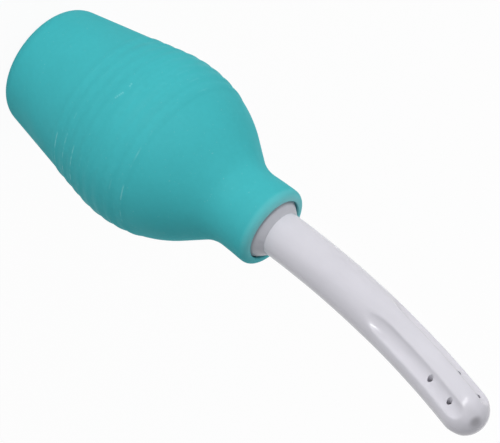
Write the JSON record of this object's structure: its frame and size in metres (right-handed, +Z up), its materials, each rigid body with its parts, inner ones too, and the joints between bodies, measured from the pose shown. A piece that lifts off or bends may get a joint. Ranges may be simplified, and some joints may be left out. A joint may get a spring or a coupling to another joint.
{
  "type": "enema bulb",
  "caption": "Rubber squeeze bulb with a flat base, ringed belly and thick lip, and a curved fluted nozzle with side jets that screws into its neck.",
  "frame": {"origin": "centre of the bulb's flat base", "axes": "+Z up along the bulb's axis, towards the nozzle; the nozzle bends towards +X"},
  "size_m": [0.0701, 0.0702, 0.2361],
  "materials": {
    "bulb": "soft satin",
    "neck_collar": "satin",
    "sealing_washer": "matt",
    "nozzle": "polished"
  },
  "bodies": {
    "bulb": {"bulb": "bulb", "neck_collar": "neck_collar"},
    "washer": {"sealing_washer": "sealing_washer"},
    "nozzle": {"nozzle": "nozzle"}
  },
  "joints": [
    {"name": "nozzle_lift", "type": "slide", "parent": "bulb", "child": "washer", "axis": [0, 0, 1], "range_m": [0, 0.0075]},
    {"name": "nozzle_turn", "type": "hinge", "parent": "washer", "child": "nozzle", "pos_m": [0, 0, 0.1152], "axis": [0, 0, 1], "range_deg": [0, 1080]}
  ],
  "couplings": [
    {"joint": "nozzle_lift", "follows": "nozzle_turn", "m_per_rad": 0.00039788}
  ]
}
